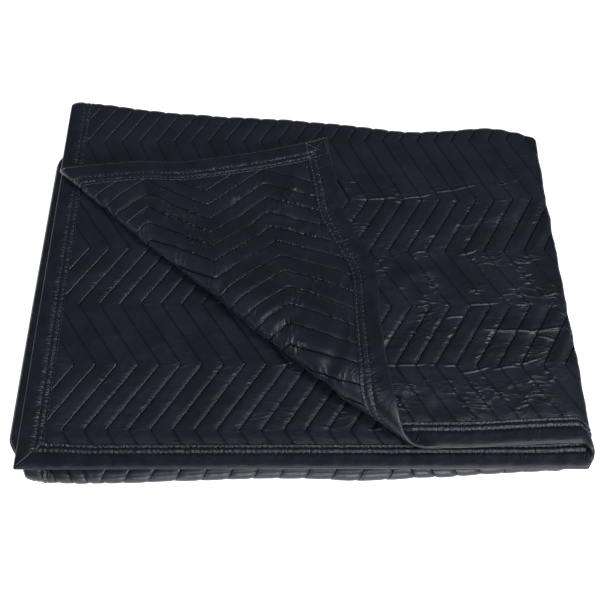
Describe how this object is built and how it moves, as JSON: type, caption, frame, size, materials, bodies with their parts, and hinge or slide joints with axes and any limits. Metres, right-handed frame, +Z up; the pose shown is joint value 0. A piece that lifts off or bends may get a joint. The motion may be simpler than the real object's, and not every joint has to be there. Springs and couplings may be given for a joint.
{
  "type": "folded moving blanket",
  "caption": "Quilted navy moving blanket with bound edges, folded into a flat packet with its top corner turned back.",
  "frame": {"origin": "middle of the folded packet's footprint, on the surface that it rests on", "axes": "+X to the side fold, along the packet's long side; +Y from the free front edges to the back fold; +Z up"},
  "size_m": [0.9454, 0.7692, 0.0923],
  "materials": {
    "quilted_fabric": "dark navy woven cover with a soft satin sheen, chevron quilted",
    "binding_tape": "dark navy woven tape, sewn with two rows of thread"
  },
  "bodies": {
    "root": {"quilted_cloth": "quilted_fabric", "binding_front": "binding_tape", "binding_left_top": "binding_tape", "binding_left_under": "binding_tape", "binding_back": "binding_tape"}
  },
  "joints": []
}
